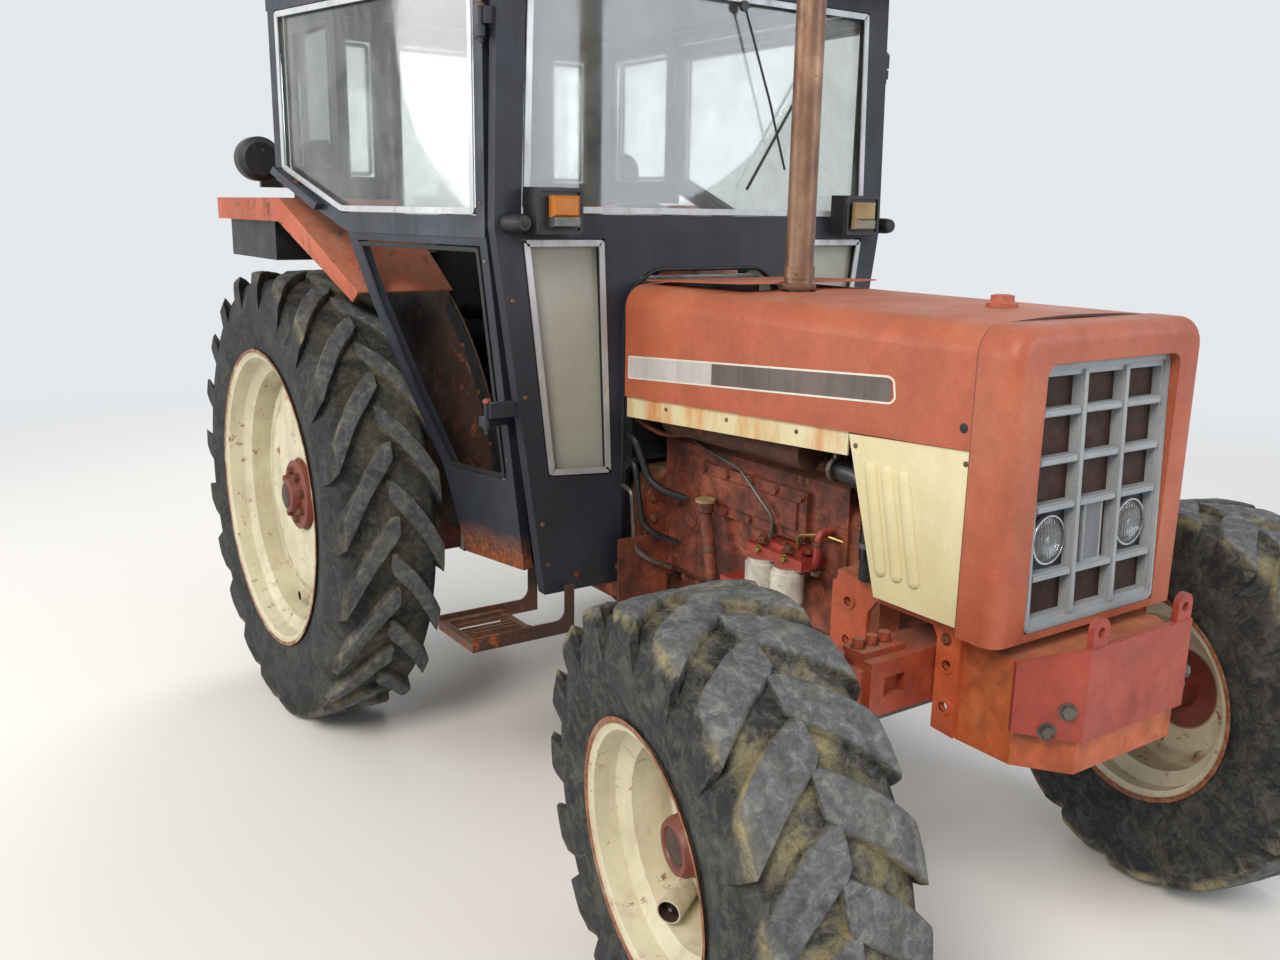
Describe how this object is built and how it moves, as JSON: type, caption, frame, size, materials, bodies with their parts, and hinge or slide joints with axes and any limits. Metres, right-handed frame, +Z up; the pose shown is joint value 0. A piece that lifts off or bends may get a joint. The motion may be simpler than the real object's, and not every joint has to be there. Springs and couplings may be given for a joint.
{
  "type": "farm tractor",
  "caption": "Two-wheel-drive farm tractor with a cab, steered front axle, hinged doors and a rear three-point linkage.",
  "frame": {"origin": "on the ground under the middle of the tractor's bounding box", "axes": "+X forward, +Y to the tractor's left, +Z up"},
  "size_m": [3.7873, 2.0368, 2.5797],
  "materials": {
    "bare_steel": "worn steel",
    "black_rubber": "matt rubber",
    "black_steel": "worn black paint",
    "cab_dark": "dark blue-grey paint",
    "cab_glass": "dusty glass",
    "engine_red": "oily, dusty red paint",
    "exhaust_brown": "heat-browned steel",
    "fan_grey": "dirty grey paint",
    "filter_white": "oily white paint",
    "grille_grey": "dull silver-grey paint",
    "lamp_glass": "clear ribbed glass",
    "mesh_brown": "dark brown, dirty",
    "panel_cream": "aged cream paint",
    "radiator_black": "matt black",
    "rim_cream": "aged cream paint",
    "rusty_red": "worn red-brown paint",
    "rusty_steel": "rusted black paint",
    "seat_vinyl": "worn black vinyl",
    "tractor_red": "faded orange-red paint",
    "tyre_rubber": "worn, dusty"
  },
  "bodies": {
    "chassis": {"engine_block": "engine_red", "tappet_cover": "engine_red", "manifold": "exhaust_brown", "oil_and_fuel_filters": "filter_white", "cooling_fan": "fan_grey", "radiator": "radiator_black", "radiator_cap": "tractor_red", "radiator_hose": "black_rubber", "transmission_housing": "engine_red", "rear_axle_housing": "engine_red", "drawbar": "bare_steel", "front_support": "rusty_red", "side_rails": "rusty_red", "weight_bracket": "rusty_red", "bonnet": "tractor_red", "bonnet_hatch": "tractor_red", "nose_cowl": "tractor_red", "grille": "grille_grey", "grille_mesh": "mesh_brown", "headlamps": "lamp_glass", "side_panels": "panel_cream", "bonnet_strips": "panel_cream", "exhaust_stack": "exhaust_brown", "cab_front_wall": "cab_dark", "cab_side_walls": "cab_dark", "cab_rear_wall": "cab_dark", "cab_glass": "cab_glass", "cab_roof": "cab_dark", "cab_floor": "black_steel", "fenders": "tractor_red", "fender_boxes": "black_steel", "steps": "rusty_steel", "seat": "seat_vinyl", "dashboard": "black_steel", "steering_wheel": "black_steel", "indicator_lamps": "black_steel", "work_lamps": "black_steel"},
    "front_axle": {"front_axle": "rusty_red"},
    "knuckle_right": {"knuckle_right": "rusty_red"},
    "knuckle_left": {"knuckle_left": "rusty_red"},
    "tie_rod": {"tie_rod": "bare_steel"},
    "front_wheel_right": {"front_rim_right": "rim_cream", "front_tyre_right": "tyre_rubber"},
    "front_wheel_left": {"front_rim_left": "rim_cream", "front_tyre_left": "tyre_rubber"},
    "rear_wheel_right": {"rear_rim_right": "rim_cream", "rear_tyre_right": "tyre_rubber"},
    "rear_wheel_left": {"rear_rim_left": "rim_cream", "rear_tyre_left": "tyre_rubber"},
    "door_right": {"door_right": "cab_dark", "door_glass_right": "cab_glass"},
    "door_left": {"door_left": "cab_dark", "door_glass_left": "cab_glass"},
    "lift_arms": {"lift_arms": "rusty_red"},
    "lift_rods": {"lift_rods": "bare_steel"},
    "lower_links": {"lower_links": "rusty_red"}
  },
  "joints": [
    {"name": "front_axle_swing", "type": "hinge", "parent": "chassis", "child": "front_axle", "pos_m": [1.336, 0, 0.785], "axis": [1, 0, 0], "range_deg": [-7, 7]},
    {"name": "steer_right", "type": "hinge", "parent": "front_axle", "child": "knuckle_right", "pos_m": [1.336, -0.53, 0.6], "axis": [0, 0, 1], "range_deg": [-25.5, 44.5]},
    {"name": "steer_left", "type": "hinge", "parent": "front_axle", "child": "knuckle_left", "pos_m": [1.336, 0.53, 0.6], "axis": [0, 0, 1], "range_deg": [-25.5, 44.5]},
    {"name": "tie_rod_swing", "type": "hinge", "parent": "knuckle_right", "child": "tie_rod", "pos_m": [1.14861, -0.49864, 0.64], "axis": [0, 0, 1], "range_deg": [-44.5, 25.5]},
    {"name": "front_wheel_right_spin", "type": "hinge", "parent": "knuckle_right", "child": "front_wheel_right", "pos_m": [1.29694, -0.76343, 0.512], "axis": [-0.1648, -0.9849, -0.0523], "continuous": true},
    {"name": "front_wheel_left_spin", "type": "hinge", "parent": "knuckle_left", "child": "front_wheel_left", "pos_m": [1.37506, 0.76343, 0.512], "axis": [0.1648, 0.9849, -0.0523], "continuous": true},
    {"name": "rear_wheel_right_spin", "type": "hinge", "parent": "chassis", "child": "rear_wheel_right", "pos_m": [-0.909, -0.826, 0.762], "axis": [0, 1, 0], "continuous": true},
    {"name": "rear_wheel_left_spin", "type": "hinge", "parent": "chassis", "child": "rear_wheel_left", "pos_m": [-0.909, 0.826, 0.762], "axis": [0, 1, 0], "continuous": true},
    {"name": "door_right_hinge", "type": "hinge", "parent": "chassis", "child": "door_right", "pos_m": [0.199, -0.704, 1.2], "axis": [0, 0, 1], "range_deg": [-12, 70]},
    {"name": "door_left_hinge", "type": "hinge", "parent": "chassis", "child": "door_left", "pos_m": [0.199, 0.704, 1.2], "axis": [0, 0, -1], "range_deg": [0, 82]},
    {"name": "lift_arms_hinge", "type": "hinge", "parent": "chassis", "child": "lift_arms", "pos_m": [-1.099, 0, 0.965], "axis": [0, 1, 0], "range_deg": [-10, 25]},
    {"name": "lift_rods_hinge", "type": "hinge", "parent": "lift_arms", "child": "lift_rods", "pos_m": [-1.399, 0, 0.965], "axis": [0, 1, 0], "range_deg": [-25, 10]},
    {"name": "lower_links_hinge", "type": "hinge", "parent": "chassis", "child": "lower_links", "pos_m": [-1.099, 0, 0.47], "axis": [0, 1, 0], "range_deg": [-10, 25]}
  ],
  "couplings": [
    {"joint": "steer_left", "follows": "steer_right", "ratio": 1},
    {"joint": "tie_rod_swing", "follows": "steer_right", "ratio": -1},
    {"joint": "lift_rods_hinge", "follows": "lift_arms_hinge", "ratio": -1},
    {"joint": "lower_links_hinge", "follows": "lift_arms_hinge", "ratio": 1}
  ]
}
